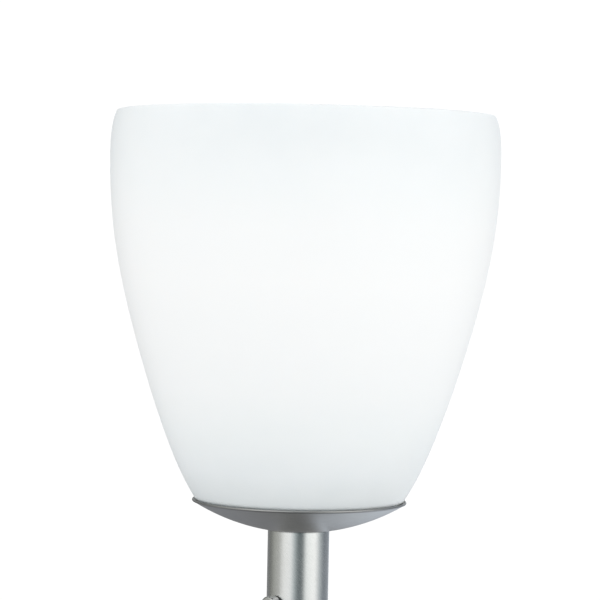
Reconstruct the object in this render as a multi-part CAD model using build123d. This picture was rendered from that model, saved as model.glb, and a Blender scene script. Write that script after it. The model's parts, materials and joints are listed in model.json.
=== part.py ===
from build123d import *
import math
import os

# Torchiere floor lamp: weighted foot, three-piece pole, wide neck tube with a turn switch,
# thin metal saucer and an open opal glass cup that lies loose in it, with a common LED bulb.
# Millimetres, +Z up, front towards -Y. The origin is the centre of the underside.

# ---- Fits ----
SLIP = 0.05          # radial gap of pressed, threaded and sliding pieces that don't move
RUNNING = 0.05       # radial gap of the switch shaft in its bearings
LOOSE = 0.3          # gap between pieces that lift apart

# ---- Foot ----
PAD_THICKNESS = 2.0
BASE_RADIUS = 139.7          # 11 inch foot
PAD_INSET = 5.7              # the pad is this much smaller than the foot
BASE_HEIGHT = 30.0           # top of the cover's flat centre
BASE_SHEET = 1.0
BASE_EDGE_BOTTOM = 1.5       # the cover's edge hangs this far above the floor
BASE_EDGE_TOP = 14.0         # where the upright edge turns into the shoulder
BASE_SHOULDER = 6.0          # outside radius of the shoulder
BASE_FLAT_RADIUS = 25.0      # flat centre that the pole stands on
WEIGHT_EDGE_GAP = 2.7        # between the weight and the cover's edge
WEIGHT_THICKNESS = 14.0
WEIGHT_CHAMFER = 2.0
WEIGHT_BOSS_RADIUS = 44.0
WEIGHT_BOSS_DROP = 3.0       # the boss falls away under the domed cover
WEIGHT_BOSS_SPREAD = 6.0     # slope of the boss's side
RECESS_RADIUS = 34.0         # hollow under the weight for the nut and the terminal block
RECESS_DEPTH = 20.0
CHANNEL_ROOM = 0.1           # cord's way from the gland to the hollow is this much wider than the gland
COLLAR_FLANGE = 4.0          # height of the collar's flange
COLLAR_FLANGE_WIDTH = 5.5
COLLAR_WALL = 3.8
COLLAR_HEIGHT = 16.0
COLLAR_ROUND = 1.5

# ---- Cord gland, level with the cord's channel ----
GLAND_WAY = 45.0             # degrees from +X
GLAND_BORE_RADIUS = 3.6
GLAND_NECK_RADIUS = 4.4
GLAND_FLANGE_RADIUS = 5.2
GLAND_FLANGE = 2.0           # stands out of the cover's edge

# ---- Terminal block and inner wires ----
BLOCK_SIZE = (16.0, 12.0, 8.0)
BLOCK_DISTANCE = 22.0        # from the axis to the block's middle
WIRE_RADIUS = 1.2
WIRE_OFFSET = 1.3            # each wire's distance from the lamp's axis
WIRE_BEND = 7.0
WIRE_GRIP = 2.0              # length of a wire's end inside the block

# ---- Pole ----
POLE_RADIUS = 12.7           # 1 inch tube
POLE_WALL = 1.2
POLE_SECTION = 479.0         # length of one of the three tubes
POLE_RING_HEIGHT = 2.5
POLE_RING_STEP = 0.7         # the ring stands this far out of the pole
POLE_RING_ROUND = 0.8
INSERT_LENGTH = 15.0
NIPPLE_RADIUS = 5.0          # hollow threaded rod
NIPPLE_WALL = 1.5
NIPPLE_GRIP = 12.0           # length held in each threaded plug
NUT_WALL = 2.5               # from the thread to the middle of a flat
BASE_NUT_HEIGHT = 5.0
WASHER_WIDTH = 9.0
WASHER_THICKNESS = 2.0
NIPPLE_BELOW_NUT = 1.0

# ---- Lampholder, with heights measured from the saucer's flat underside ----
BULB_CAP_RADIUS = 13.1       # E26 cap, over its thread
SHELL_SHEET = 0.5            # the screw shell, with a plain wall for its thread
SHELL_TOP = 5.0
SHELL_FLOOR = -27.0
SHELL_FLOOR_HOLE = 6.0
SOCKET_WALL = 2.95
SOCKET_TOP = 8.0
SOCKET_BOTTOM = -56.0
SOCKET_CAP_HEIGHT = 10.0
SOCKET_CAP_WALL = 1.0
SOCKET_HUB_HEIGHT = 8.0
SOCKET_HUB_WALL = 3.0
SWITCH_CHAMBER_WALL = 2.7
WEB_TOP = -34.0              # wall between the screw shell and the switch
CONTACT_RADIUS = 3.5
CONTACT_HEIGHT = 2.0
SOCKET_RING_HEIGHT = 5.0
SOCKET_RING_EDGE = 0.5       # from the ring to the edge of the saucer's flat
SOCKET_RING_NOTCHES = 12
SOCKET_RING_NOTCH_RADIUS = 1.0

# ---- Neck ----
NECK_ROOM = 0.45             # between the lampholder and the neck tube
NECK_WALL = 1.0
NECK_LENGTH = 95.0
NECK_BASE_HEIGHT = 13.0
NECK_SPIGOT = 6.0            # the neck's foot reaches this far into the tube
NECK_LIP = 2.0               # upright edges at both ends of the flare
NECK_NUT_HEIGHT = 4.0

# ---- Switch ----
SWITCH_WAY = -135.0          # degrees from +X: the knob points front left
SWITCH_HEIGHT = -45.2        # the shaft's height
SWITCH_ROOM = 0.75           # between the switch's corners and its chamber
SWITCH_TALL = 17.0
ROTOR_RADIUS = 4.5
ROTOR_FLATS = 6.0
ROTOR_LENGTH = 9.0
ROTOR_ROOM = 0.5             # gap round the rotor
SHAFT_RADIUS = 1.5
BUSH_RADIUS = 3.2
BUSH_ROOM = 0.35             # between the bush's end and the neck tube
BUSH_HOLE_ROOM = 0.3         # the tube's hole is this much wider than the bush
KNOB_RADIUS = 6.5
KNOB_LENGTH = 5.5
KNOB_GAP = 1.15              # between the neck tube and the knob
KNOB_FACE_WALL = 1.2
KNOB_ROUND = 1.4
KNOB_FLUTES = 18
KNOB_FLUTE_RADIUS = 0.7
KNOB_FLUTE_DEPTH = 0.35
SCREW_RADIUS = 1.7
SCREW_HEAD_RADIUS = 2.8
SCREW_HEAD_HEIGHT = 1.8
SCREW_LENGTH = 5.0
SCREW_OFFSET = 6.0
SCREW_SLOT = 0.8

# ---- Saucer ----
SAUCER_RADIUS = 63.2         # to the middle of the bead
SAUCER_BOWL_RADIUS = 120.5   # the bowl is part of a sphere
SAUCER_FLAT_EDGE = 4.0       # the flat centre reaches this far outside the neck tube
SAUCER_SHEET = 1.0
SAUCER_BEAD_RADIUS = 0.7
SAUCER_HOLE_GAP = 0.6        # round the lampholder
GASKET_INSET = 7.0           # inside the saucer's rim
GASKET_WIDTH = 6.0
GASKET_THICKNESS = 0.5

# ---- Glass ----
GLASS_WALL = 3.0
GLASS_HEIGHT = 231.2         # above the saucer's rim
GLASS_BELLY_RADIUS = 115.9
GLASS_BELLY_AT = 0.88        # the belly's place, as a share of the side's height
GLASS_RIM_INSET = 3.3        # the rim is this much narrower than the belly
GLASS_FOOT_LIFT = 6.0        # where the side leaves its foot, above the saucer's rim
GLASS_FOOT_OVERHANG = 1.65   # and how far outside the saucer's rim
GLASS_FOOT_SLOPE = (0.6, 1.0)
GLASS_RIM_SLOPE = (-0.42, 1.0)
GLASS_FOOT_ROUND = 5.0
GLASS_INNER_ROUND = 2.0
GLASS_HOLE_ROOM = 3.0        # round the bulb
GLASS_SIDE = ((0.321, 0.159), (0.663, 0.398), (0.912, 0.637))   # shares of width and height

# ---- Bulb, an ordinary A19 shape ----
BULB_RADIUS = 30.0
BULB_CENTRE = 54.0           # above the saucer's underside
BULB_JOIN = 47.0             # where the dome meets the housing
BULB_DOME_WALL = 1.0
BULB_HOUSING_WALL = 1.6
BULB_CAP_WALL = 0.4
BULB_CAP_TOP = 2.5
BULB_CAP_BOTTOM = -18.7
BULB_NECK_TOP = 9.5          # the neck is straight up to here, out of the lampholder
BULB_INSULATOR_RADII = (5.0, 11.0)
BULB_INSULATOR_BOTTOM = -22.2
BULB_TIP_RADIUS = 4.5
BOARD_THICKNESS = 1.6
CHIP_SIZE = (3.0, 3.0, 0.8)
CHIP_COUNT = 10
CHIP_CIRCLE = 16.0
DRIVER_SIZE = (1.2, 17.0, 30.0)
DRIVER_BOTTOM = 10.0
DRIVER_CAN_RADIUS = 4.0
DRIVER_CAN_HEIGHT = 12.0

# ---- Sizes and heights that follow from the ones above ----
PAD_RADIUS = BASE_RADIUS - PAD_INSET
GLAND_HEIGHT = (BASE_EDGE_BOTTOM + BASE_EDGE_TOP) / 2
CHANNEL_WIDTH = 2 * (GLAND_NECK_RADIUS + CHANNEL_ROOM)
CHANNEL_TOP = GLAND_HEIGHT + GLAND_NECK_RADIUS
COLLAR_HUB_RADIUS = POLE_RADIUS + COLLAR_WALL
COLLAR_RADIUS = COLLAR_HUB_RADIUS + COLLAR_FLANGE_WIDTH
POLE_RING_RADIUS = POLE_RADIUS + POLE_RING_STEP
NIPPLE_BORE_RADIUS = NIPPLE_RADIUS - NIPPLE_WALL
NUT_FLATS = 2 * (NIPPLE_RADIUS + NUT_WALL)
WASHER_RADIUS = NIPPLE_RADIUS + WASHER_WIDTH
SHELL_INNER_RADIUS = BULB_CAP_RADIUS + LOOSE
SHELL_OUTER_RADIUS = SHELL_INNER_RADIUS + SHELL_SHEET
SOCKET_RADIUS = SHELL_OUTER_RADIUS + SLIP + SOCKET_WALL
SWITCH_CHAMBER_RADIUS = SOCKET_RADIUS - SWITCH_CHAMBER_WALL
SWITCH_WIDTH = math.sqrt(2) * (SWITCH_CHAMBER_RADIUS - SWITCH_ROOM)
NECK_INNER_RADIUS = SOCKET_RADIUS + NECK_ROOM
NECK_RADIUS = NECK_INNER_RADIUS + NECK_WALL
SAUCER_FLAT_RADIUS = NECK_RADIUS + SAUCER_FLAT_EDGE
SOCKET_RING_RADIUS = SAUCER_FLAT_RADIUS - SOCKET_RING_EDGE
GASKET_OUTER_RADIUS = SAUCER_RADIUS - GASKET_INSET
GASKET_INNER_RADIUS = GASKET_OUTER_RADIUS - GASKET_WIDTH
GLASS_HOLE_RADIUS = BULB_RADIUS + GLASS_HOLE_ROOM
GLASS_SEAT_RADIUS = SAUCER_BOWL_RADIUS - SAUCER_SHEET - SLIP - GASKET_THICKNESS - LOOSE
BOWL_CENTRE = math.sqrt(SAUCER_BOWL_RADIUS ** 2 - SAUCER_FLAT_RADIUS ** 2)
SAUCER_RIM = BOWL_CENTRE - math.sqrt(SAUCER_BOWL_RADIUS ** 2 - SAUCER_RADIUS ** 2)
RECESS_ROOF = PAD_THICKNESS + RECESS_DEPTH
CAP_BOTTOM = SOCKET_BOTTOM - SOCKET_CAP_HEIGHT
NECK_BOTTOM = -NECK_LENGTH
BULB_TIP_BOTTOM = SHELL_FLOOR + CONTACT_HEIGHT + LOOSE
POLE_TOP = BASE_HEIGHT + 3 * POLE_SECTION + 2 * POLE_RING_HEIGHT
HEAD = POLE_TOP + NECK_BASE_HEIGHT + NECK_LENGTH      # the saucer's flat underside

nodes = {}


# ---- Helpers ----
def spun(*lines):
    """Solid of revolution about Z of a closed outline, drawn as radius and height."""
    return revolve(Plane.XZ * make_face(lines), Axis.Z)


def turned(*points):
    """Solid of revolution of an outline with straight sides."""
    return spun(Polyline(*points, close=True))


def disc(radius, bottom, top):
    return Pos(0, 0, bottom) * Cylinder(radius, top - bottom, align=(Align.CENTER, Align.CENTER, Align.MIN))


def ring(outer, inner, bottom, top):
    return disc(outer, bottom, top) - disc(inner, bottom, top)


def hex_nut(flats, bore, bottom, top):
    outline = RegularPolygon(flats / 2, 6, major_radius=False)
    return Pos(0, 0, bottom) * extrude(outline, top - bottom) - disc(bore, bottom, top)


def rod(radius, start, end, height, way):
    """Level rod along the direction way, from start to end off the lamp's axis."""
    bar = Cylinder(radius, end - start, align=(Align.CENTER, Align.CENTER, Align.MIN))
    return Rot(0, 0, way) * Pos(start, 0, height) * Rot(0, 90, 0) * bar


def level_box(start, end, width, bottom, top, way):
    """Box along the direction way, from start to end off the lamp's axis."""
    size = Box(end - start, width, top - bottom, align=(Align.MIN, Align.CENTER, Align.MIN))
    return Rot(0, 0, way) * Pos(start, 0, bottom) * size


def circles(solid, radius):
    """The round edges of this radius."""
    return [edge for edge in solid.edges().filter_by(GeomType.CIRCLE) if abs(edge.radius - radius) < SLIP]


# ---- Foot ----
def cover_solid(inset):
    """Everything under the cover's outer face, set in by this much, down to the cover's edge."""
    top = BASE_HEIGHT - inset
    edge = BASE_RADIUS - inset
    shoulder = BASE_SHOULDER - inset
    across = BASE_RADIUS - BASE_SHOULDER - BASE_FLAT_RADIUS
    rise = BASE_HEIGHT - BASE_EDGE_TOP
    dome = (across ** 2 + rise ** 2 - BASE_SHOULDER ** 2) / (2 * (rise - BASE_SHOULDER))
    lean = math.degrees(math.asin(across / (dome - BASE_SHOULDER)))
    flat = Line((0, top), (BASE_FLAT_RADIUS, top))
    crown = CenterArc((BASE_FLAT_RADIUS, BASE_HEIGHT - dome), dome - inset, 90, -lean)
    bend = CenterArc((edge - shoulder, BASE_EDGE_TOP), shoulder, 90 - lean, lean - 90)
    side = Line((edge, BASE_EDGE_TOP), (edge, BASE_EDGE_BOTTOM))
    floor = Polyline((edge, BASE_EDGE_BOTTOM), (0, BASE_EDGE_BOTTOM), (0, top))
    return spun(flat, crown, bend, side, floor)


def make_base_pad():
    return disc(PAD_RADIUS, 0, PAD_THICKNESS)


def make_base_weight():
    edge = BASE_RADIUS - BASE_SHEET - WEIGHT_EDGE_GAP
    plate = PAD_THICKNESS + WEIGHT_THICKNESS
    top = BASE_HEIGHT - BASE_SHEET
    bore = NIPPLE_RADIUS + LOOSE
    body = turned(
        (bore, PAD_THICKNESS),
        (edge, PAD_THICKNESS),
        (edge, plate - WEIGHT_CHAMFER),
        (edge - WEIGHT_CHAMFER, plate),
        (WEIGHT_BOSS_RADIUS + WEIGHT_BOSS_SPREAD, plate),
        (WEIGHT_BOSS_RADIUS, top - WEIGHT_BOSS_DROP),
        (BASE_FLAT_RADIUS, top),
        (bore, top),
    )
    channel = level_box(0, edge + 1, CHANNEL_WIDTH, PAD_THICKNESS, CHANNEL_TOP, GLAND_WAY)
    return body - disc(RECESS_RADIUS, PAD_THICKNESS, RECESS_ROOF) - channel


def make_base_cover():
    shell = cover_solid(0) - cover_solid(BASE_SHEET)
    nipple_hole = disc(NIPPLE_RADIUS + LOOSE, 0, BASE_HEIGHT + 1)
    gland_hole = rod(GLAND_NECK_RADIUS + SLIP, BASE_FLAT_RADIUS, BASE_RADIUS + 1, GLAND_HEIGHT, GLAND_WAY)
    return shell - nipple_hole - gland_hole


def make_cord_gland():
    inner_face = BASE_RADIUS - BASE_SHEET - GLAND_FLANGE + SLIP
    outer_face = BASE_RADIUS + GLAND_FLANGE
    flanges = rod(GLAND_FLANGE_RADIUS, inner_face, outer_face, GLAND_HEIGHT, GLAND_WAY)
    groove = ring(BASE_RADIUS + SLIP, BASE_RADIUS - BASE_SHEET - SLIP, 0, BASE_EDGE_TOP)
    neck = rod(GLAND_NECK_RADIUS, inner_face, outer_face, GLAND_HEIGHT, GLAND_WAY)
    bore = rod(GLAND_BORE_RADIUS, inner_face, outer_face, GLAND_HEIGHT, GLAND_WAY)
    return flanges - groove + neck - bore


def make_foot_collar():
    bore = POLE_RADIUS + SLIP
    top = BASE_HEIGHT + COLLAR_HEIGHT
    flange = BASE_HEIGHT + COLLAR_FLANGE
    body = turned(
        (bore, BASE_HEIGHT),
        (COLLAR_RADIUS, BASE_HEIGHT),
        (COLLAR_RADIUS, flange),
        (COLLAR_HUB_RADIUS, flange),
        (COLLAR_HUB_RADIUS, top),
        (bore, top),
    )
    corners = [flange_edge for flange_edge in circles(body, COLLAR_RADIUS) if flange_edge.center().Z > BASE_HEIGHT]
    corners += [hub_edge for hub_edge in circles(body, COLLAR_HUB_RADIUS) if hub_edge.center().Z > flange]
    return fillet(corners, COLLAR_ROUND)


def make_foot():
    washer_bottom = RECESS_ROOF - WASHER_THICKNESS
    nut_bottom = washer_bottom - BASE_NUT_HEIGHT
    nipple_bottom = nut_bottom - NIPPLE_BELOW_NUT
    nipple_top = BASE_HEIGHT + NIPPLE_GRIP
    threaded = NIPPLE_RADIUS + SLIP
    nodes["base_pad"] = make_base_pad()
    nodes["base_weight"] = make_base_weight()
    nodes["base_cover"] = make_base_cover()
    nodes["base_washer"] = ring(WASHER_RADIUS, threaded, washer_bottom, RECESS_ROOF)
    nodes["base_nut"] = hex_nut(NUT_FLATS, threaded, nut_bottom, washer_bottom)
    nodes["base_nipple"] = ring(NIPPLE_RADIUS, NIPPLE_BORE_RADIUS, nipple_bottom, nipple_top)
    nodes["cord_gland"] = make_cord_gland()
    nodes["foot_collar"] = make_foot_collar()


# ---- Inner wiring ----
def make_wiring():
    length, width, height = BLOCK_SIZE
    start = BLOCK_DISTANCE - length / 2
    block = level_box(start, start + length, width, PAD_THICKNESS, PAD_THICKNESS + height, GLAND_WAY)
    run_height = PAD_THICKNESS + height / 2
    top = HEAD + SWITCH_HEIGHT - SWITCH_TALL / 2 - SLIP
    for name, side in (("wire_live", 1), ("wire_neutral", -1)):
        offset = side * WIRE_OFFSET
        route = [
            Line((start + WIRE_GRIP, run_height), (WIRE_BEND, run_height)),
            CenterArc((WIRE_BEND, run_height + WIRE_BEND), WIRE_BEND, 270, -90),
            Line((0, run_height + WIRE_BEND), (0, top)),
        ]
        path = Plane((0, offset, 0), x_dir=(1, 0, 0), z_dir=(0, -1, 0)) * Wire(route)
        section = Plane(path @ 0, z_dir=path % 0) * Circle(WIRE_RADIUS)
        nodes[name] = Rot(0, 0, GLAND_WAY) * sweep(section, path)
        hole = Pos(start, offset, run_height) * Rot(0, 90, 0) * Cylinder(WIRE_RADIUS + SLIP, 2 * WIRE_GRIP)
        block -= Rot(0, 0, GLAND_WAY) * hole
    nodes["terminal_block"] = block


# ---- Pole ----
def make_pole():
    names = ("pole_lower", "pole_middle", "pole_upper")
    inner = POLE_RADIUS - POLE_WALL
    threaded = NIPPLE_RADIUS + SLIP
    for index, name in enumerate(names):
        bottom = BASE_HEIGHT + index * (POLE_SECTION + POLE_RING_HEIGHT)
        top = bottom + POLE_SECTION
        nodes[name] = ring(POLE_RADIUS, inner, bottom, top)
        lower_insert = ring(inner - SLIP, threaded, bottom, bottom + INSERT_LENGTH)
        upper_insert = ring(inner - SLIP, threaded, top - INSERT_LENGTH, top)
        nodes[f"pole_insert_{2 * index + 1}"] = lower_insert
        nodes[f"pole_insert_{2 * index + 2}"] = upper_insert
        if name != names[-1]:
            ring_top = top + POLE_RING_HEIGHT
            joint_ring = ring(POLE_RING_RADIUS, threaded, top, ring_top)
            nodes[f"pole_ring_{index + 1}"] = fillet(circles(joint_ring, POLE_RING_RADIUS), POLE_RING_ROUND)
            nipple = ring(NIPPLE_RADIUS, NIPPLE_BORE_RADIUS, top - NIPPLE_GRIP, ring_top + NIPPLE_GRIP)
            nodes[f"pole_nipple_{index + 1}"] = nipple


# ---- Head: everything from here is measured from the saucer's flat underside ----
def make_neck():
    spigot = NECK_INNER_RADIUS - SLIP
    threaded = NIPPLE_RADIUS + SLIP
    foot = NECK_BOTTOM - NECK_BASE_HEIGHT
    spigot_top = NECK_BOTTOM + NECK_SPIGOT
    lip = NECK_BOTTOM - NECK_LIP
    flare = ThreePointArc(
        (POLE_RADIUS, foot + NECK_LIP),
        (POLE_RADIUS + 0.3 * (NECK_RADIUS - POLE_RADIUS), (foot + 1.6 * NECK_LIP + lip) / 2),
        (NECK_RADIUS, lip),
    )
    rest = Polyline(
        (NECK_RADIUS, lip),
        (NECK_RADIUS, NECK_BOTTOM),
        (spigot, NECK_BOTTOM),
        (spigot, spigot_top),
        (threaded, spigot_top),
        (threaded, foot),
        (POLE_RADIUS, foot),
        (POLE_RADIUS, foot + NECK_LIP),
    )
    shaft_hole = rod(BUSH_RADIUS + BUSH_HOLE_ROOM, 0, NECK_RADIUS + 1, SWITCH_HEIGHT, SWITCH_WAY)
    nipple_bottom = foot - NIPPLE_GRIP
    nipple_top = CAP_BOTTOM - SLIP
    return {
        "neck_base": spun(flare, rest),
        "neck_tube": ring(NECK_RADIUS, NECK_INNER_RADIUS, NECK_BOTTOM, 0) - shaft_hole,
        "neck_nut": hex_nut(NUT_FLATS, threaded, spigot_top, spigot_top + NECK_NUT_HEIGHT),
        "neck_nipple": ring(NIPPLE_RADIUS, NIPPLE_BORE_RADIUS, nipple_bottom, nipple_top),
    }


def make_socket_ring():
    top = SAUCER_SHEET + SOCKET_RING_HEIGHT
    body = ring(SOCKET_RING_RADIUS, SOCKET_RADIUS + SLIP, SAUCER_SHEET, top)
    notch = Pos(SOCKET_RING_RADIUS, 0, 0) * disc(SOCKET_RING_NOTCH_RADIUS, SAUCER_SHEET, top)
    for index in range(SOCKET_RING_NOTCHES):
        body -= Rot(0, 0, index * 360 / SOCKET_RING_NOTCHES) * notch
    return body


def make_lampholder():
    web_bottom = SWITCH_HEIGHT + SWITCH_TALL / 2
    bush_hole = rod(BUSH_RADIUS + SLIP, 0, SOCKET_RADIUS + 1, SWITCH_HEIGHT, SWITCH_WAY)
    body = disc(SOCKET_RADIUS, SOCKET_BOTTOM, SOCKET_TOP)
    body -= disc(SHELL_OUTER_RADIUS + SLIP, WEB_TOP, SOCKET_TOP)
    body -= disc(SWITCH_CHAMBER_RADIUS, SOCKET_BOTTOM, web_bottom)
    cap = disc(SOCKET_RADIUS, CAP_BOTTOM, SOCKET_BOTTOM)
    cap -= disc(SOCKET_RADIUS - SOCKET_CAP_WALL, CAP_BOTTOM + SOCKET_CAP_WALL, SOCKET_BOTTOM)
    cap += disc(NIPPLE_RADIUS + SOCKET_HUB_WALL, CAP_BOTTOM - SOCKET_HUB_HEIGHT, CAP_BOTTOM)
    cap -= disc(NIPPLE_RADIUS + SLIP, CAP_BOTTOM - SOCKET_HUB_HEIGHT, CAP_BOTTOM)
    cap -= disc(NIPPLE_BORE_RADIUS, CAP_BOTTOM, CAP_BOTTOM + SOCKET_CAP_WALL)
    shell = ring(SHELL_OUTER_RADIUS, SHELL_INNER_RADIUS, SHELL_FLOOR, SHELL_TOP)
    shell += ring(SHELL_OUTER_RADIUS, SHELL_FLOOR_HOLE, SHELL_FLOOR, SHELL_FLOOR + SHELL_SHEET)
    return {
        "socket_body": body - bush_hole,
        "socket_cap": cap,
        "screw_shell": shell,
        "socket_insulator": disc(SHELL_OUTER_RADIUS, WEB_TOP, SHELL_FLOOR),
        "center_contact": disc(CONTACT_RADIUS, SHELL_FLOOR, SHELL_FLOOR + CONTACT_HEIGHT),
        "socket_ring": make_socket_ring(),
    }


def make_knob(start):
    """The knob on its shaft, made pointing up from the origin and then laid level."""
    body = disc(KNOB_RADIUS, 0, KNOB_LENGTH)
    body = fillet(body.edges().group_by(Axis.Z)[-1], KNOB_ROUND)
    flute_centre = KNOB_RADIUS + KNOB_FLUTE_RADIUS - KNOB_FLUTE_DEPTH
    flute = Pos(flute_centre, 0, 0) * disc(KNOB_FLUTE_RADIUS, 0, KNOB_LENGTH)
    for index in range(KNOB_FLUTES):
        body -= Rot(0, 0, index * 360 / KNOB_FLUTES) * flute
    body -= disc(SHAFT_RADIUS + SLIP, 0, KNOB_LENGTH - KNOB_FACE_WALL)
    return Rot(0, 0, SWITCH_WAY) * Pos(start, 0, SWITCH_HEIGHT) * Rot(0, 90, 0) * body


def make_terminal_screws(bottom):
    screws = []
    for side in (-1, 1):
        screw = disc(SCREW_RADIUS, bottom, bottom + SCREW_LENGTH)
        screw += disc(SCREW_HEAD_RADIUS, bottom - SCREW_HEAD_HEIGHT, bottom)
        slot_top = bottom - SCREW_HEAD_HEIGHT + SCREW_SLOT
        slot = level_box(-KNOB_RADIUS, KNOB_RADIUS, SCREW_SLOT, bottom - SCREW_HEAD_HEIGHT, slot_top, 0)
        screws.append(Rot(0, 0, SWITCH_WAY) * Pos(0, side * SCREW_OFFSET, 0) * (screw - slot))
    return Compound(screws)


def make_switch():
    half = SWITCH_WIDTH / 2
    bottom = SWITCH_HEIGHT - SWITCH_TALL / 2
    top = SWITCH_HEIGHT + SWITCH_TALL / 2
    chamber = ROTOR_LENGTH / 2 + ROTOR_ROOM
    bearing = SHAFT_RADIUS + RUNNING
    knob_start = NECK_RADIUS + KNOB_GAP
    shaft_end = knob_start + KNOB_LENGTH - KNOB_FACE_WALL - SLIP
    body = level_box(-half, half, SWITCH_WIDTH, bottom, top, SWITCH_WAY)
    body -= rod(ROTOR_RADIUS + ROTOR_ROOM, -chamber, chamber, SWITCH_HEIGHT, SWITCH_WAY)
    body -= rod(bearing, 0, half, SWITCH_HEIGHT, SWITCH_WAY)
    for side in (-1, 1):
        screw_hole = disc(SCREW_RADIUS + SLIP, bottom, bottom + SCREW_LENGTH + SLIP)
        body -= Rot(0, 0, SWITCH_WAY) * Pos(0, side * SCREW_OFFSET, 0) * screw_hole
    bush_end = NECK_INNER_RADIUS - BUSH_ROOM
    bush = rod(BUSH_RADIUS, half, bush_end, SWITCH_HEIGHT, SWITCH_WAY)
    bush -= rod(bearing, half, bush_end, SWITCH_HEIGHT, SWITCH_WAY)
    rotor = rod(ROTOR_RADIUS, -ROTOR_LENGTH / 2, ROTOR_LENGTH / 2, SWITCH_HEIGHT, SWITCH_WAY)
    rotor &= level_box(
        -ROTOR_LENGTH,
        ROTOR_LENGTH,
        2 * ROTOR_RADIUS,
        SWITCH_HEIGHT - ROTOR_FLATS / 2,
        SWITCH_HEIGHT + ROTOR_FLATS / 2,
        SWITCH_WAY,
    )
    rotor -= rod(SHAFT_RADIUS + SLIP, -ROTOR_LENGTH, ROTOR_LENGTH, SWITCH_HEIGHT, SWITCH_WAY)
    return {
        "switch_body": body,
        "switch_bush": bush,
        "switch_rotor": rotor,
        "switch_shaft": rod(SHAFT_RADIUS, -ROTOR_LENGTH / 2, shaft_end, SWITCH_HEIGHT, SWITCH_WAY),
        "switch_knob": make_knob(knob_start),
        "terminal_screws": make_terminal_screws(bottom),
    }


# ---- Saucer and glass ----
def bowl_arc(radius, start, end):
    """Arc of a circle about the bowl's centre, between two distances from the lamp's axis."""
    first = math.degrees(math.acos(start / radius))
    last = math.degrees(math.acos(end / radius))
    return CenterArc((0, BOWL_CENTRE), radius, -first, first - last)


def make_saucer():
    inner_bowl = SAUCER_BOWL_RADIUS - SAUCER_SHEET
    inner_flat = math.sqrt(inner_bowl ** 2 - (BOWL_CENTRE - SAUCER_SHEET) ** 2)
    outside = bowl_arc(SAUCER_BOWL_RADIUS, SAUCER_FLAT_RADIUS, SAUCER_RADIUS)
    inside = bowl_arc(inner_bowl, inner_flat, SAUCER_RADIUS)
    hole = SOCKET_RADIUS + SAUCER_HOLE_GAP
    edge = Line(outside @ 1, inside @ 1)
    flat = Polyline(inside @ 0, (hole, SAUCER_SHEET), (hole, 0), outside @ 0)
    bead = Pos(edge @ 0.5) * Circle(SAUCER_BEAD_RADIUS)
    sheet = make_face([outside, edge, inside, flat])
    return revolve(Plane.XZ * (sheet + bead), Axis.Z)


def make_gasket():
    low = SAUCER_BOWL_RADIUS - SAUCER_SHEET - SLIP
    under = bowl_arc(low, GASKET_INNER_RADIUS, GASKET_OUTER_RADIUS)
    over = bowl_arc(low - GASKET_THICKNESS, GASKET_INNER_RADIUS, GASKET_OUTER_RADIUS)
    return spun(under, Line(under @ 1, over @ 1), over, Line(over @ 0, under @ 0))


def foot_corner(start, way, radius):
    """Where the line down from start meets the circle of this radius about the bowl's centre."""
    offset = start - Vector(0, BOWL_CENTRE)
    along = offset.dot(way)
    return start - way * (along + math.sqrt(along ** 2 - offset.dot(offset) + radius ** 2))


def make_glass():
    foot = Vector(SAUCER_RADIUS + GLASS_FOOT_OVERHANG, SAUCER_RIM + GLASS_FOOT_LIFT)
    slope = Vector(*GLASS_FOOT_SLOPE).normalized()
    rim_slope = Vector(*GLASS_RIM_SLOPE).normalized()
    height = GLASS_HEIGHT - GLASS_FOOT_LIFT - (1 + rim_slope.X) * GLASS_WALL / 2
    width = GLASS_BELLY_RADIUS - foot.X
    shares = (*GLASS_SIDE, (1, GLASS_BELLY_AT), (1 - GLASS_RIM_INSET / width, 1))
    points = [foot] + [foot + Vector(width * across, height * up) for across, up in shares]
    outer = Spline(*points, tangents=[slope, rim_slope])
    inner_points = []
    for point in points:
        heading = outer % outer.param_at_point(point)
        inner_points.append(point + Vector(-heading.Y, heading.X) * GLASS_WALL)
    inner = Spline(*inner_points, tangents=[outer % 0, outer % 1])
    lip_top = (outer @ 1 + inner @ 1) / 2 + (outer % 1) * (GLASS_WALL / 2)
    lip = ThreePointArc(outer @ 1, lip_top, inner @ 1)
    low_corner = foot_corner(foot, slope, GLASS_SEAT_RADIUS)
    high_corner = foot_corner(inner @ 0, slope, GLASS_SEAT_RADIUS - GLASS_WALL)
    under = bowl_arc(GLASS_SEAT_RADIUS, GLASS_HOLE_RADIUS, low_corner.X)
    over = bowl_arc(GLASS_SEAT_RADIUS - GLASS_WALL, GLASS_HOLE_RADIUS, high_corner.X)
    glass = spun(
        under,
        Line(under @ 1, outer @ 0),
        outer,
        lip,
        inner,
        Line(inner @ 0, over @ 1),
        over,
        Line(over @ 0, under @ 0),
    )
    for corner, rounding in ((low_corner, GLASS_FOOT_ROUND), (high_corner, GLASS_INNER_ROUND)):
        glass = fillet(circles(glass, corner.X), rounding)
    return glass


# ---- Bulb ----
def bulb_housing_solid(inset):
    neck = BULB_CAP_RADIUS - inset
    join = math.sqrt(BULB_RADIUS ** 2 - (BULB_CENTRE - BULB_JOIN) ** 2) - inset
    flare = Spline((neck, BULB_NECK_TOP), (join, BULB_JOIN), tangents=[(0.15, 1), (0.2, 1)])
    rest = Polyline(
        (join, BULB_JOIN),
        (0, BULB_JOIN),
        (0, BULB_CAP_TOP + inset),
        (neck, BULB_CAP_TOP + inset),
        (neck, BULB_NECK_TOP),
    )
    return spun(flare, rest)


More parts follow.
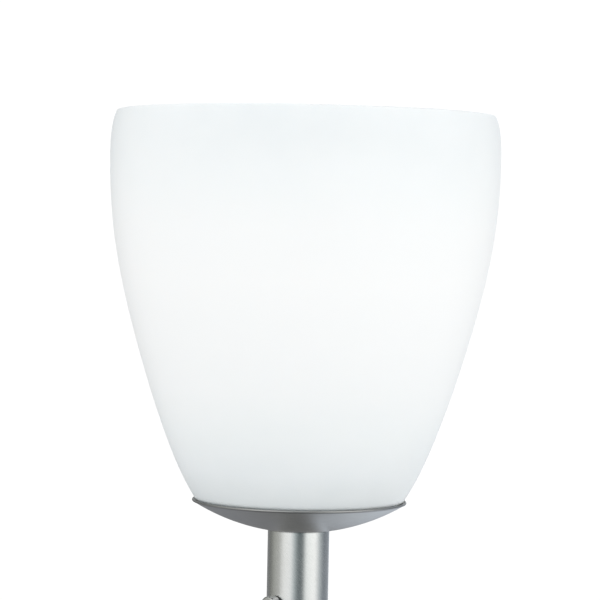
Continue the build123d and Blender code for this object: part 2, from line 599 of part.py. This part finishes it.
def make_bulb():
    join = math.sqrt(BULB_RADIUS ** 2 - (BULB_CENTRE - BULB_JOIN) ** 2)
    board_radius = join - BULB_HOUSING_WALL - 1
    board_bottom = BULB_JOIN - BOARD_THICKNESS
    narrow, wide = BULB_INSULATOR_RADII
    dome = Pos(0, 0, BULB_CENTRE) * (Sphere(BULB_RADIUS) - Sphere(BULB_RADIUS - BULB_DOME_WALL))
    dome -= disc(2 * BULB_RADIUS, -BULB_RADIUS, BULB_JOIN)
    chip_length, chip_width, chip_height = CHIP_SIZE
    chip = Pos(CHIP_CIRCLE, 0, BULB_JOIN + chip_height / 2) * Box(chip_length, chip_width, chip_height)
    chips = [Rot(0, 0, index * 360 / CHIP_COUNT) * chip for index in range(CHIP_COUNT)]
    thickness, width, height = DRIVER_SIZE
    driver = Pos(0, 0, DRIVER_BOTTOM + height / 2) * Box(thickness, width, height)
    can = disc(DRIVER_CAN_RADIUS, DRIVER_BOTTOM + height / 2, DRIVER_BOTTOM + height / 2 + DRIVER_CAN_HEIGHT)
    driver += Pos(DRIVER_CAN_RADIUS, 0, 0) * can
    housing = bulb_housing_solid(0) - bulb_housing_solid(BULB_HOUSING_WALL)
    return {
        "bulb_tip": disc(BULB_TIP_RADIUS, BULB_TIP_BOTTOM, BULB_INSULATOR_BOTTOM),
        "bulb_insulator": turned(
            (0, BULB_INSULATOR_BOTTOM),
            (narrow, BULB_INSULATOR_BOTTOM),
            (wide, BULB_CAP_BOTTOM),
            (0, BULB_CAP_BOTTOM),
        ),
        "bulb_cap": disc(BULB_CAP_RADIUS, BULB_CAP_BOTTOM, BULB_CAP_TOP)
        - disc(BULB_CAP_RADIUS - BULB_CAP_WALL, BULB_CAP_BOTTOM + BULB_CAP_WALL, BULB_CAP_TOP),
        "bulb_housing": housing,
        "bulb_driver": driver,
        "bulb_board": disc(board_radius, board_bottom, BULB_JOIN),
        "bulb_chips": Compound(chips),
        "bulb_dome": dome,
    }


# ---- Assembly ----
make_foot()
make_wiring()
make_pole()
head_nodes = {
    **make_neck(),
    **make_lampholder(),
    **make_switch(),
    "saucer": make_saucer(),
    "shade_gasket": make_gasket(),
    "glass_shade": make_glass(),
    **make_bulb(),
}
for name, solid in head_nodes.items():
    nodes[name] = Pos(0, 0, HEAD) * solid

os.makedirs("parts", exist_ok=True)
for name, solid in nodes.items():
    solid.label = name
    export_step(solid, f"parts/{name}.step")
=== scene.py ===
import json
import math

import bmesh
import bpy
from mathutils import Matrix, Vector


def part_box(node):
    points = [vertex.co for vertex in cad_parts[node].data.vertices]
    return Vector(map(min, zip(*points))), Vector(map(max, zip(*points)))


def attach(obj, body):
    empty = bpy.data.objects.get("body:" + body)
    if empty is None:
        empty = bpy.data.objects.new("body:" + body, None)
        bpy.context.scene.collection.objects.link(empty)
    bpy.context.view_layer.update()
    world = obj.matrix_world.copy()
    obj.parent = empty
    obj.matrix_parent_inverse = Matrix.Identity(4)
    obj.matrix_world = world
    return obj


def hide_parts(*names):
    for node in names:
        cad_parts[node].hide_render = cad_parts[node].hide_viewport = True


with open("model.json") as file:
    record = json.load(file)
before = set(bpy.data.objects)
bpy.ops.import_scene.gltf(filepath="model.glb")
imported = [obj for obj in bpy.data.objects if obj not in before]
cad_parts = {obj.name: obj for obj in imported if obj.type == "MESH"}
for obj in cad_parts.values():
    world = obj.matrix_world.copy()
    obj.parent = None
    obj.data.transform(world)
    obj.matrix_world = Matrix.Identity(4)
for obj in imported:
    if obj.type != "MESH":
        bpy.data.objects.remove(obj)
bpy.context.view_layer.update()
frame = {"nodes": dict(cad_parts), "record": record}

# Looks of a torchiere floor lamp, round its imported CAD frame. Metres, +Z up, front towards -Y.

nodes = frame["nodes"]
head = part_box("saucer")[0].z              # the saucer's flat underside
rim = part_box("glass_shade")[1].z          # top of the glass
saucer_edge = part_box("saucer")[1].x       # its radius

# ---- Camera: in front, above the saucer, leaning a little ----
CAMERA_DISTANCE = 1.509
CAMERA_ABOVE_SAUCER = 0.1725
CAMERA_SIDE = -0.0025
CAMERA_PITCH = math.radians(-1.382)
CAMERA_ROLL = math.radians(1.1)
CAMERA_LENS = 152.2
SENSOR_WIDTH = 36.0

# ---- Stage ----
FLOOR_SIZE = 8.0
FLOOR_COLOUR = (0.86, 0.86, 0.85, 1)
FLOOR_COLOUR_DARK = (0.82, 0.82, 0.815, 1)

# ---- Brushed metal ----
SEAM_SHADE = 0.0013          # painted shade: a dark line round the neck tube, just under the saucer
EDGE_SHADE = 0.0018          # painted shade: a dark band round the saucer's edge
GRAIN_RADIUS = 0.018         # turns an angle into a length round a tube
SPUN_GRAIN_RADIUS = 0.03     # the same on spun pieces
SLANT = (0.75, 0.65)         # the tube's grain runs on a slant: shares of height and of girth
FINE_GRAIN = (6000.0, 250.0)  # streaks to a metre, across and along the grain
WIDE_GRAIN = (2200.0, 170.0)
FINE_SHARE = 0.6
WIDE_SHARE = 0.4
NICKEL_DARK = (0.55, 0.555, 0.55, 1)
NICKEL_PALE = (0.69, 0.695, 0.69, 1)
NICKEL_SMUDGE = (0.66, 0.65, 0.62, 1)
SHADED = 0.14                # grey of the painted shade line under the saucer and the painted shade band at its edge

# ---- Opal glass ----
STREAK_COLOUR = (0.945, 0.968, 0.97, 1)
STREAK_SCALE = 14.0
ETCH_SCALE = 900.0


# ---- Node helpers ----
class Nodes:
    """Short calls for building one node tree."""

    def __init__(self, tree):
        self.tree = tree
        tree.nodes.clear()

    def add(self, kind, **values):
        """A node with these attributes."""
        node = self.tree.nodes.new(kind)
        for key, value in values.items():
            setattr(node, key, value)
        return node

    def link(self, output, target):
        self.tree.links.new(output, target)

    def put(self, value, target):
        """Links a socket to the target, or sets a plain value on it."""
        if isinstance(value, bpy.types.NodeSocket):
            self.link(value, target)
        else:
            target.default_value = value

    def math(self, operation, first, second=0.0, clamp=False):
        node = self.add("ShaderNodeMath", operation=operation, use_clamp=clamp)
        self.put(first, node.inputs[0])
        self.put(second, node.inputs[1])
        return node.outputs[0]

    def spread(self, value, low, high, new_low, new_high):
        """Maps low..high to new_low..new_high, and holds the ends."""
        node = self.add("ShaderNodeMapRange", interpolation_type="SMOOTHSTEP")
        for name, number in zip(("Value", "From Min", "From Max", "To Min", "To Max"),
                                (value, low, high, new_low, new_high)):
            self.put(number, node.inputs[name])
        return node.outputs["Result"]

    def share(self, value, low, high):
        """How far the value has come from low to high, held to 0..1."""
        return self.math("DIVIDE", self.math("SUBTRACT", value, low), high - low, clamp=True)

    def ramp(self, factor, stops):
        """Colour ramp of (place, colour) stops."""
        node = self.add("ShaderNodeValToRGB")
        elements = node.color_ramp.elements
        while len(elements) < len(stops):
            elements.new(0.5)
        for element, (place, colour) in zip(elements, stops):
            element.position = place
            element.color = colour
        self.put(factor, node.inputs[0])
        return node.outputs["Color"]

    def mix(self, factor, first, second, blend="MIX"):
        node = self.add("ShaderNodeMix", data_type="RGBA", blend_type=blend)
        self.put(factor, node.inputs["Factor"])
        self.put(first, node.inputs[6])
        self.put(second, node.inputs[7])
        return node.outputs[2]

    def noise(self, vector, scale, detail=3.0, roughness=0.5):
        node = self.add("ShaderNodeTexNoise")
        self.put(vector, node.inputs["Vector"])
        self.put(scale, node.inputs["Scale"])
        self.put(detail, node.inputs["Detail"])
        self.put(roughness, node.inputs["Roughness"])
        return node.outputs["Fac"]

    def scaled(self, value, factor):
        return self.math("MULTIPLY", value, factor)

    def streaks(self, across, along, scales, detail):
        """Noise drawn out along the grain."""
        place = self.vector(self.scaled(across, scales[0]), self.scaled(along, scales[1]), 0.0)
        return self.noise(place, 1.0, detail, 0.6)

    def vector(self, x, y, z):
        node = self.add("ShaderNodeCombineXYZ")
        for value, target in zip((x, y, z), node.inputs):
            self.put(value, target)
        return node.outputs[0]

    def split(self, vector):
        node = self.add("ShaderNodeSeparateXYZ")
        self.put(vector, node.inputs[0])
        return node.outputs

    def place(self):
        """The point's place in the lamp's own frame, in metres."""
        return self.add("ShaderNodeTexCoord").outputs["Object"]

    def round_place(self):
        """(angle about the lamp's axis, distance from it, height)."""
        x, y, z = self.split(self.place())
        angle = self.math("ARCTAN2", y, x)
        squares = self.math("ADD", self.math("MULTIPLY", x, x), self.math("MULTIPLY", y, y))
        return angle, self.math("SQRT", squares), z

    def bump(self, height, strength, distance):
        node = self.add("ShaderNodeBump")
        node.inputs["Strength"].default_value = strength
        node.inputs["Distance"].default_value = distance
        self.link(height, node.inputs["Height"])
        return node.outputs["Normal"]


def grey(value):
    return (value, value, value, 1)


def material(name):
    """A new material, its node builder and its Principled shader."""
    made = bpy.data.materials.new(name)
    made.use_nodes = True
    tree = Nodes(made.node_tree)
    shader = tree.add("ShaderNodeBsdfPrincipled")
    output = tree.add("ShaderNodeOutputMaterial")
    tree.link(shader.outputs[0], output.inputs["Surface"])
    return made, tree, shader


# ---- Materials ----
# Opal glass colour from the foot up to the rim, with painted shade in it: darkest at the thick foot, which
# lets the least light through, and a little darker at the rim.
OPAL_TONE_AND_SHADE = (
    (0.06, (0.625, 0.665, 0.675, 1)),
    (0.10, (0.705, 0.745, 0.755, 1)),
    (0.15, (0.775, 0.815, 0.83, 1)),
    (0.24, (0.845, 0.885, 0.89, 1)),
    (0.34, (0.91, 0.94, 0.943, 1)),
    (0.45, (0.943, 0.966, 0.966, 1)),
    (0.60, (0.963, 0.98, 0.977, 1)),
    (0.72, (0.92, 0.945, 0.945, 1)),
    (0.86, (0.85, 0.885, 0.893, 1)),
    (1.00, (0.77, 0.81, 0.825, 1)),
)


def opal_glass():
    """Acid-etched opal glass: milky, with painted shade that makes it darkest at the foot and a little
    darker at the rim.
    """
    made, tree, shader = material("opal_glass")
    height = tree.split(tree.place())[2]
    cloud = tree.noise(tree.place(), STREAK_SCALE, 4.0)
    grain = tree.noise(tree.place(), ETCH_SCALE, 2.0)
    # The glass's white tone with painted shade: darker towards the foot and the rim.
    body = tree.ramp(tree.share(height, head, rim), OPAL_TONE_AND_SHADE)
    streaks = tree.spread(cloud, 0.3, 0.7, 0.0, 0.25)
    tree.link(tree.mix(streaks, body, STREAK_COLOUR), shader.inputs["Base Color"])
    tree.link(tree.spread(grain, 0.2, 0.8, 0.34, 0.48), shader.inputs["Roughness"])
    tree.link(tree.bump(grain, 0.05, 0.0002), shader.inputs["Normal"])
    shader.inputs["Specular IOR Level"].default_value = 0.22
    shader.inputs["Subsurface Weight"].default_value = 0.35
    shader.inputs["Subsurface Radius"].default_value = (1.0, 0.96, 0.92)
    shader.inputs["Subsurface Scale"].default_value = 0.006
    return made


def brushed_nickel(name, spun):
    """Brushed nickel. A spun piece has its grain round the axis, and a tube has it on a slant."""
    high_share, round_share = SLANT
    made, tree, shader = material(name)
    angle, reach, height = tree.round_place()
    if spun:
        across = tree.math("ADD", reach, height)
        along = tree.scaled(angle, SPUN_GRAIN_RADIUS)
    else:
        around = tree.scaled(angle, GRAIN_RADIUS)
        across = tree.math("ADD", tree.scaled(around, high_share), tree.scaled(height, round_share))
        along = tree.math("SUBTRACT", tree.scaled(height, high_share), tree.scaled(around, round_share))
    fine = tree.streaks(across, along, FINE_GRAIN, 2.0)
    wide = tree.streaks(across, along, WIDE_GRAIN, 3.0)
    smudge = tree.noise(tree.place(), 22.0, 3.0)
    grain = tree.math("ADD", tree.scaled(fine, FINE_SHARE), tree.scaled(wide, WIDE_SHARE))
    tone = tree.mix(tree.spread(grain, 0.3, 0.7, 0.0, 1.0), NICKEL_DARK, NICKEL_PALE)
    tinted = tree.mix(tree.spread(smudge, 0.35, 0.7, 0.0, 0.35), tone, NICKEL_SMUDGE)
    if spun:
        # Painted shade: a dark band round the saucer's edge, on spun pieces above the saucer's underside.
        shade = tree.math("GREATER_THAN", height, head)
        wear_and_shade = tree.spread(reach, saucer_edge - EDGE_SHADE, saucer_edge - EDGE_SHADE / 2, 0.0, 0.5)
        shade = tree.math("MULTIPLY", shade, wear_and_shade)
    else:
        # Painted shade: the tube darkens towards the shade grey just under the saucer.
        shade = tree.spread(height, head - SEAM_SHADE, head - SEAM_SHADE / 3, 0.0, 0.8)
    # Mixes the painted shade grey into the metal's colour.
    tree.link(tree.mix(shade, tinted, grey(SHADED)), shader.inputs["Base Color"])
    low, high = (0.30, 0.38) if spun else (0.20, 0.27)
    base = tree.spread(smudge, 0.3, 0.8, low, high)
    rough = tree.math("ADD", tree.spread(wide, 0.2, 0.8, 0.0, 0.08), base)
    tree.link(rough, shader.inputs["Roughness"])
    tree.link(tree.bump(grain, 0.09, 0.00005), shader.inputs["Normal"])
    shader.inputs["Metallic"].default_value = 1.0
    return made


def plain_metal(name, colour, wear_and_shade, low, high, scale=60.0):
    """Bright or dull metal with faint marks."""
    made, tree, shader = material(name)
    marks = tree.noise(tree.place(), scale, 5.0, 0.6)
    fine = tree.noise(tree.place(), scale * 30, 2.0)
    tree.link(tree.mix(tree.spread(marks, 0.35, 0.75, 0.0, 1.0), colour, wear_and_shade), shader.inputs["Base Color"])
    tree.link(tree.spread(fine, 0.2, 0.8, low, high), shader.inputs["Roughness"])
    tree.link(tree.bump(fine, 0.08, 0.00005), shader.inputs["Normal"])
    shader.inputs["Metallic"].default_value = 1.0
    return made


def cast_iron():
    """Black painted iron with pits and some rust showing through."""
    made, tree, shader = material("cast_iron")
    pits = tree.noise(tree.place(), 450.0, 6.0, 0.7)
    rust = tree.noise(tree.place(), 25.0, 4.0)
    rusted = tree.spread(rust, 0.55, 0.8, 0.0, 0.4)
    colour = tree.mix(rusted, (0.035, 0.035, 0.036, 1), (0.10, 0.06, 0.045, 1))
    tree.link(colour, shader.inputs["Base Color"])
    tree.link(tree.spread(pits, 0.3, 0.7, 0.55, 0.85), shader.inputs["Roughness"])
    tree.link(tree.bump(pits, 0.5, 0.0006), shader.inputs["Normal"])
    shader.inputs["Metallic"].default_value = 0.3
    return made


def moulded(name, colour, wear_and_shade, low, high, subsurface=0.0):
    """Moulded plastic, rubber or ceramic with a fine surface grain and a slight change of tone."""
    made, tree, shader = material(name)
    grain = tree.noise(tree.place(), 1200.0, 2.0)
    cloud = tree.noise(tree.place(), 30.0, 4.0)
    tree.link(tree.mix(tree.spread(cloud, 0.35, 0.7, 0.0, 1.0), colour, wear_and_shade), shader.inputs["Base Color"])
    tree.link(tree.spread(grain, 0.2, 0.8, low, high), shader.inputs["Roughness"])
    tree.link(tree.bump(grain, 0.25, 0.00005), shader.inputs["Normal"])
    shader.inputs["Subsurface Weight"].default_value = subsurface
    shader.inputs["Subsurface Radius"].default_value = (1.0, 0.97, 0.93)
    shader.inputs["Subsurface Scale"].default_value = 0.003
    return made


def circuit_board():
    """Green solder resist with pale tracks."""
    made, tree, shader = material("circuit_board")
    cells = tree.add("ShaderNodeTexVoronoi", feature="DISTANCE_TO_EDGE")
    tree.link(tree.place(), cells.inputs["Vector"])
    cells.inputs["Scale"].default_value = 260.0
    tracks = tree.spread(cells.outputs["Distance"], 0.02, 0.06, 1.0, 0.0)
    tree.link(tree.mix(tracks, (0.02, 0.13, 0.05, 1), (0.06, 0.28, 0.11, 1)), shader.inputs["Base Color"])
    tree.link(tree.spread(tracks, 0.0, 1.0, 0.3, 0.4), shader.inputs["Roughness"])
    tree.link(tree.bump(tracks, 0.3, 0.00005), shader.inputs["Normal"])
    return made


def floor_material():
    """Pale and matt, with faint clouds."""
    made, tree, shader = material("pale_floor")
    cloud = tree.noise(tree.place(), 1.3, 4.0)
    colour = tree.mix(tree.spread(cloud, 0.3, 0.7, 0.0, 1.0), FLOOR_COLOUR, FLOOR_COLOUR_DARK)
    tree.link(colour, shader.inputs["Base Color"])
    shader.inputs["Roughness"].default_value = 0.6
    return made


def slot_materials():
    """One material for each of the record's material slots."""
    return {
        "opal_glass": opal_glass(),
        "brushed_nickel": brushed_nickel("brushed_nickel", spun=False),
        "zinc_steel": plain_metal("zinc_steel", (0.60, 0.61, 0.62, 1), (0.50, 0.51, 0.50, 1), 0.22, 0.36),
        "cast_iron": cast_iron(),
        "black_rubber": moulded(
            "black_rubber", (0.022, 0.022, 0.022, 1), (0.035, 0.034, 0.033, 1), 0.6, 0.8),
        "clear_silicone": moulded(
            "clear_silicone", (0.72, 0.73, 0.72, 1), (0.80, 0.80, 0.79, 1), 0.35, 0.5, subsurface=0.4),
        "black_phenolic": moulded(
            "black_phenolic", (0.02, 0.02, 0.021, 1), (0.03, 0.028, 0.027, 1), 0.22, 0.34),
        "socket_metal": plain_metal(
            "socket_metal", (0.72, 0.72, 0.71, 1), (0.62, 0.61, 0.58, 1), 0.18, 0.30),
        "brass": plain_metal("brass", (0.74, 0.53, 0.22, 1), (0.60, 0.42, 0.18, 1), 0.20, 0.34),
        "white_ceramic": moulded(
            "white_ceramic", (0.80, 0.79, 0.76, 1), (0.86, 0.85, 0.82, 1), 0.35, 0.55, subsurface=0.2),
        "solder": plain_metal(
            "solder", (0.55, 0.55, 0.55, 1), (0.42, 0.42, 0.42, 1), 0.30, 0.45, scale=300.0),
        "black_glass": moulded(
            "black_glass", (0.012, 0.012, 0.014, 1), (0.02, 0.02, 0.022, 1), 0.05, 0.12),
        "bulb_white": moulded("bulb_white", (0.84, 0.84, 0.83, 1), (0.80, 0.80, 0.79, 1), 0.35, 0.5),
        "bulb_diffuser": moulded(
            "bulb_diffuser", (0.88, 0.88, 0.87, 1), (0.84, 0.84, 0.83, 1), 0.40, 0.55, subsurface=0.5),
        "circuit_board": circuit_board(),
        "aluminium_board": plain_metal(
            "aluminium_board", (0.80, 0.80, 0.79, 1), (0.70, 0.70, 0.69, 1), 0.35, 0.50),
        "led_phosphor": moulded("led_phosphor", (0.86, 0.66, 0.12, 1), (0.80, 0.58, 0.10, 1), 0.3, 0.45),
        "wire_black": moulded("wire_black", (0.02, 0.02, 0.02, 1), (0.03, 0.03, 0.03, 1), 0.35, 0.5),
        "wire_white": moulded("wire_white", (0.78, 0.78, 0.76, 1), (0.70, 0.70, 0.68, 1), 0.35, 0.5),
    }


SPUN_NODES = ("saucer", "base_cover", "foot_collar", "neck_base", "pole_ring_1", "pole_ring_2")


def dress_nodes(materials):
    """Gives every CAD node its material."""
    spun = brushed_nickel("spun_nickel", spun=True)
    for part in frame["record"]["subparts"]:
        mesh = nodes[part["node"]].data
        chosen = spun if part["node"] in SPUN_NODES else materials[part["material_slot"]]
        mesh.materials.clear()
        mesh.materials.append(chosen)


# ---- Screw thread on the bulb's cap ----
THREAD_PITCH = 0.00363       # 7 turns to the inch
THREAD_DEPTH = 0.0009
THREAD_FADE = 0.0022         # the thread runs out over this height at both ends
THREAD_ABOVE_FLOOR = 0.0012
PLAIN_BAND = 0.004           # no thread this close to the cap's top
CAP_WALL = 0.0004
CAP_FLOOR_RADIUS = 0.0112
CAP_CORNER = 0.0005          # height of the slope from the floor to the wall
AROUND = 96
LEVELS = 90


def ring_at(build, radius, height):
    """A level ring of mesh points. The radius is a number, or a function of the angle."""
    ring = []
    for step in range(AROUND):
        angle = 2 * math.pi * step / AROUND
        reach = radius(angle) if callable(radius) else radius
        ring.append(build.verts.new((reach * math.cos(angle), reach * math.sin(angle), height)))
    return ring


def thread_radius(outer, height, angle, low, high):
    """Radius of the pressed thread at this height and angle."""
    wave = 0.5 - 0.5 * math.cos(2 * math.pi * height / THREAD_PITCH - angle)
    fade = min(1.0, (height - low) / THREAD_FADE, (high - height) / THREAD_FADE)
    return outer - THREAD_DEPTH * wave * max(0.0, fade)


def make_bulb_cap(look):
    """The bulb's cap, with a pressed thread in place of the plain wall of the CAD node."""
    low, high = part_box("bulb_cap")
    outer = high.x
    bottom = low.z
    top = high.z
    thread_low = bottom + THREAD_ABOVE_FLOOR
    thread_high = top - PLAIN_BAND
    inside = outer - THREAD_DEPTH - CAP_WALL
    build = bmesh.new()
    rings = [ring_at(build, CAP_FLOOR_RADIUS, bottom)]
    for level in range(LEVELS + 1):
        height = bottom + CAP_CORNER + (top - bottom - CAP_CORNER) * level / LEVELS
        rings.append(ring_at(
            build, lambda angle: thread_radius(outer, height, angle, thread_low, thread_high), height))
    rings.append(ring_at(build, inside, top))
    rings.append(ring_at(build, inside, bottom + CAP_WALL))
    rings.append(ring_at(build, CAP_FLOOR_RADIUS, bottom + CAP_WALL))
    for lower, upper in zip(rings, rings[1:]):
        for step in range(AROUND):
            after = (step + 1) % AROUND
            build.faces.new((lower[step], lower[after], upper[after], upper[step]))
    build.faces.new(list(reversed(rings[0])))
    build.faces.new(rings[-1])
    bmesh.ops.recalc_face_normals(build, faces=build.faces)
    mesh = bpy.data.meshes.new("bulb_cap_thread")
    build.to_mesh(mesh)
    build.free()
    mesh.shade_smooth()
    mesh.materials.append(look)
    cap = bpy.data.objects.new("bulb_cap_thread", mesh)
    bpy.context.scene.collection.objects.link(cap)
    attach(cap, "bulb")
    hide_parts("bulb_cap")


# ---- Stage, light and camera ----
def make_floor():
    """A pale floor, left out of mirrors and bounced light so that the surround stays even."""
    mesh = bpy.data.meshes.new("floor")
    half = FLOOR_SIZE / 2
    corners = [(-half, -half, 0), (half, -half, 0), (half, half, 0), (-half, half, 0)]
    mesh.from_pydata(corners, [], [(0, 1, 2, 3)])
    floor = bpy.data.objects.new("floor", mesh)
    bpy.context.scene.collection.objects.link(floor)
    mesh.materials.append(floor_material())
    floor.visible_glossy = False
    floor.visible_diffuse = False


def by_direction(stops):
    """Ramp stops from (degrees, colour): 0 is towards the camera, positive to the right."""
    return [(0.5 + degrees / 360, colour) for degrees, colour in stops]


# What the metal mirrors at eye level: two soft boxes in front with a dark gap between, a dim room behind.
LEVEL_LIGHT = (
    (-180, grey(0.34)),
    (-166, (0.30, 0.31, 0.32, 1)),
    (-125, (0.20, 0.205, 0.19, 1)),
    (-100, (0.47, 0.48, 0.44, 1)),
    (-72, (0.68, 0.69, 0.66, 1)),
    (-57, (1.32, 1.33, 1.31, 1)),
    (-28, (1.46, 1.48, 1.48, 1)),
    (-14, (0.66, 0.75, 0.77, 1)),
    (0, (0.15, 0.19, 0.20, 1)),
    (17, (0.15, 0.19, 0.20, 1)),
    (31, (1.45, 1.50, 1.48, 1)),
    (66, (1.65, 1.66, 1.64, 1)),
    (88, (0.62, 0.68, 0.70, 1)),
    (110, (0.20, 0.23, 0.26, 1)),
    (150, (0.36, 0.39, 0.43, 1)),
    (168, (0.80, 0.85, 0.92, 1)),
    (180, grey(0.34)),
)
# What it mirrors below eye level: brightest behind on the right.
LOW_LIGHT = (
    (-180, (0.20, 0.20, 0.20, 1)),
    (-167, (0.28, 0.29, 0.31, 1)),
    (-150, (0.32, 0.33, 0.36, 1)),
    (-90, grey(0.44)),
    (-60, grey(0.26)),
    (60, grey(0.28)),
    (90, (0.60, 0.62, 0.66, 1)),
    (150, (0.90, 0.97, 1.06, 1)),
    (168, (0.66, 0.71, 0.78, 1)),
    (180, (0.20, 0.20, 0.20, 1)),
)
STRAIGHT_DOWN = grey(0.15)
STRAIGHT_UP = grey(1.1)
# Heights at which one part of that surround fades into the next: 0 is level, -1 straight down.
FADE_TO_LOW = (-0.35, -0.12)
FADE_TO_DOWN = (-0.97, -0.80)
FADE_TO_UP = (0.55, 0.85)
# What lights matt surfaces: a dome from straight down to straight up, and its change from side to side.
DOME = (
    (0.0, grey(1.16)),
    (0.5, grey(1.24)),
    (1.0, grey(1.14)),
)
SIDE_LIGHT = (
    (-180, grey(0.92)),
    (-60, grey(0.97)),
    (0, grey(1.0)),
    (60, grey(1.06)),
    (180, grey(0.92)),
)
BACKDROP = grey(1.05)        # what the camera sees past the lamp: plain white


def make_light():
    """A white surround for the camera, an even soft dome for matt surfaces, soft boxes for gloss."""
    world = bpy.data.worlds.new("studio")
    bpy.context.scene.world = world
    world.use_nodes = True
    tree = Nodes(world.node_tree)
    x, y, z = tree.split(tree.add("ShaderNodeTexCoord").outputs["Generated"])
    turned = tree.math("ARCTAN2", x, tree.math("MULTIPLY", y, -1.0))
    place = tree.math("ADD", tree.math("DIVIDE", turned, 2 * math.pi), 0.5)
    level = tree.ramp(place, by_direction(LEVEL_LIGHT))
    low = tree.ramp(place, by_direction(LOW_LIGHT))
    side = tree.ramp(place, by_direction(SIDE_LIGHT))
    gloss = tree.mix(tree.spread(z, *FADE_TO_LOW, 0.0, 1.0), low, level)
    gloss = tree.mix(tree.spread(z, *FADE_TO_DOWN, 0.0, 1.0), STRAIGHT_DOWN, gloss)
    gloss = tree.mix(tree.spread(z, *FADE_TO_UP, 0.0, 1.0), gloss, STRAIGHT_UP)
    dome = tree.ramp(tree.spread(z, -1.0, 1.0, 0.0, 1.0), DOME)
    dome = tree.mix(1.0, dome, side, "MULTIPLY")
    path = tree.add("ShaderNodeLightPath")
    seen = tree.mix(path.outputs["Is Glossy Ray"], dome, gloss)
    seen = tree.mix(path.outputs["Is Camera Ray"], seen, BACKDROP)
    background = tree.add("ShaderNodeBackground")
    output = tree.add("ShaderNodeOutputWorld")
    tree.link(seen, background.inputs["Color"])
    tree.link(background.outputs[0], output.inputs["Surface"])


def make_camera():
    """A long lens in front, level with the glass's upper half."""
    data = bpy.data.cameras.new("camera")
    data.sensor_width = SENSOR_WIDTH
    data.lens = CAMERA_LENS
    data.clip_start = 0.1
    data.clip_end = 60.0
    camera = bpy.data.objects.new("camera", data)
    bpy.context.scene.collection.objects.link(camera)
    camera.location = (CAMERA_SIDE, -CAMERA_DISTANCE, head + CAMERA_ABOVE_SAUCER)
    camera.rotation_euler = (math.pi / 2 + CAMERA_PITCH, -CAMERA_ROLL, 0)
    bpy.context.scene.camera = camera


def make_view():
    """Plain colour handling, so that white stays white."""
    view = bpy.context.scene.view_settings
    view.view_transform = "Standard"
    view.look = "None"


make_camera()
make_view()
make_light()
make_floor()
looks = slot_materials()
dress_nodes(looks)
make_bulb_cap(looks["socket_metal"])
